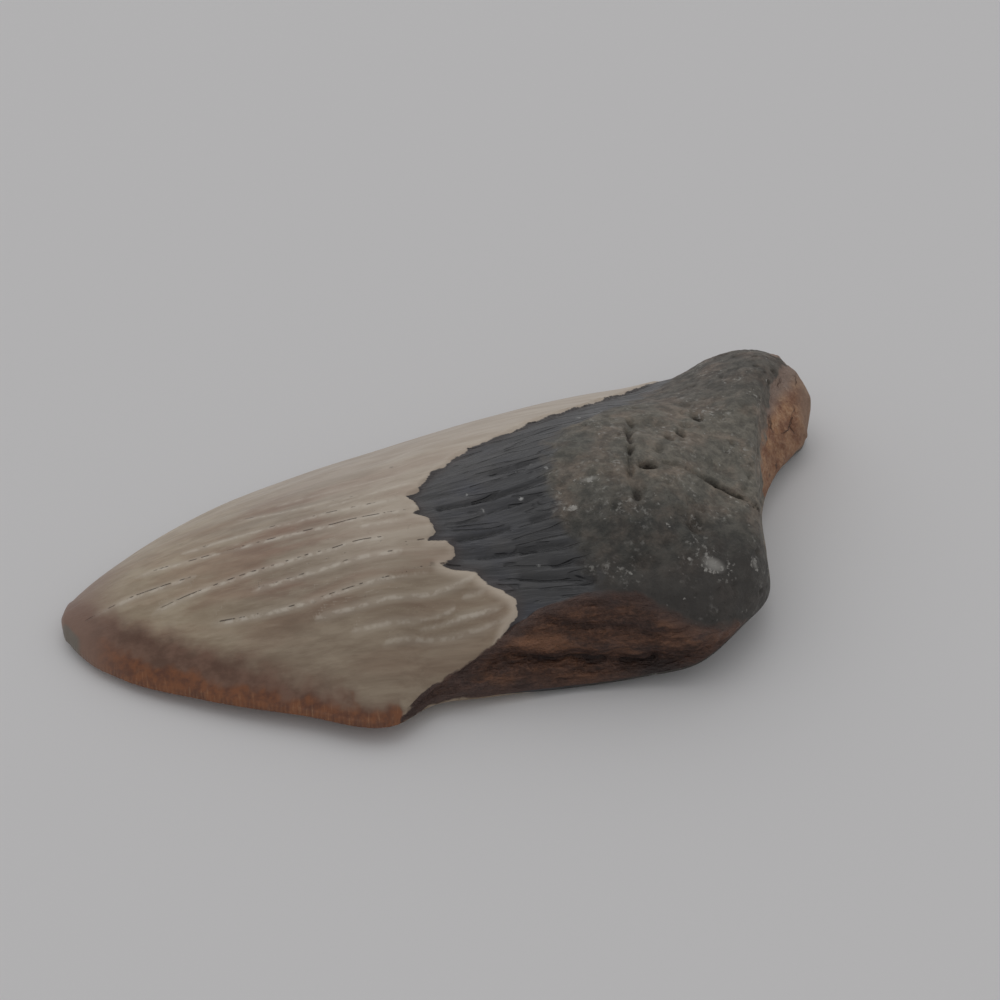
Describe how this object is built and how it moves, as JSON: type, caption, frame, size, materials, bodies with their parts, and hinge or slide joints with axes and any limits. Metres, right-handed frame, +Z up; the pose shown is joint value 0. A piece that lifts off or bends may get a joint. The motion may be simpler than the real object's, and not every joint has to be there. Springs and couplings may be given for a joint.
{
  "type": "fossil megalodon tooth",
  "caption": "Large fossil shark tooth lying flat: tapered enamel blade, dark band, lumpy stone root with one whole lobe, and one side broken away.",
  "frame": {"origin": "centre of the bounding box, on the plane that the labial face rests on", "axes": "+X from the tip to the root, +Y to the side whose cutting edge and root lobe are whole, +Z up out of the lingual face"},
  "size_m": [0.1218, 0.0774, 0.022],
  "materials": {
    "fossil_tooth": "worn enamel over dull grey stone"
  },
  "bodies": {
    "root": {"megalodon_tooth": "fossil_tooth"}
  },
  "joints": []
}
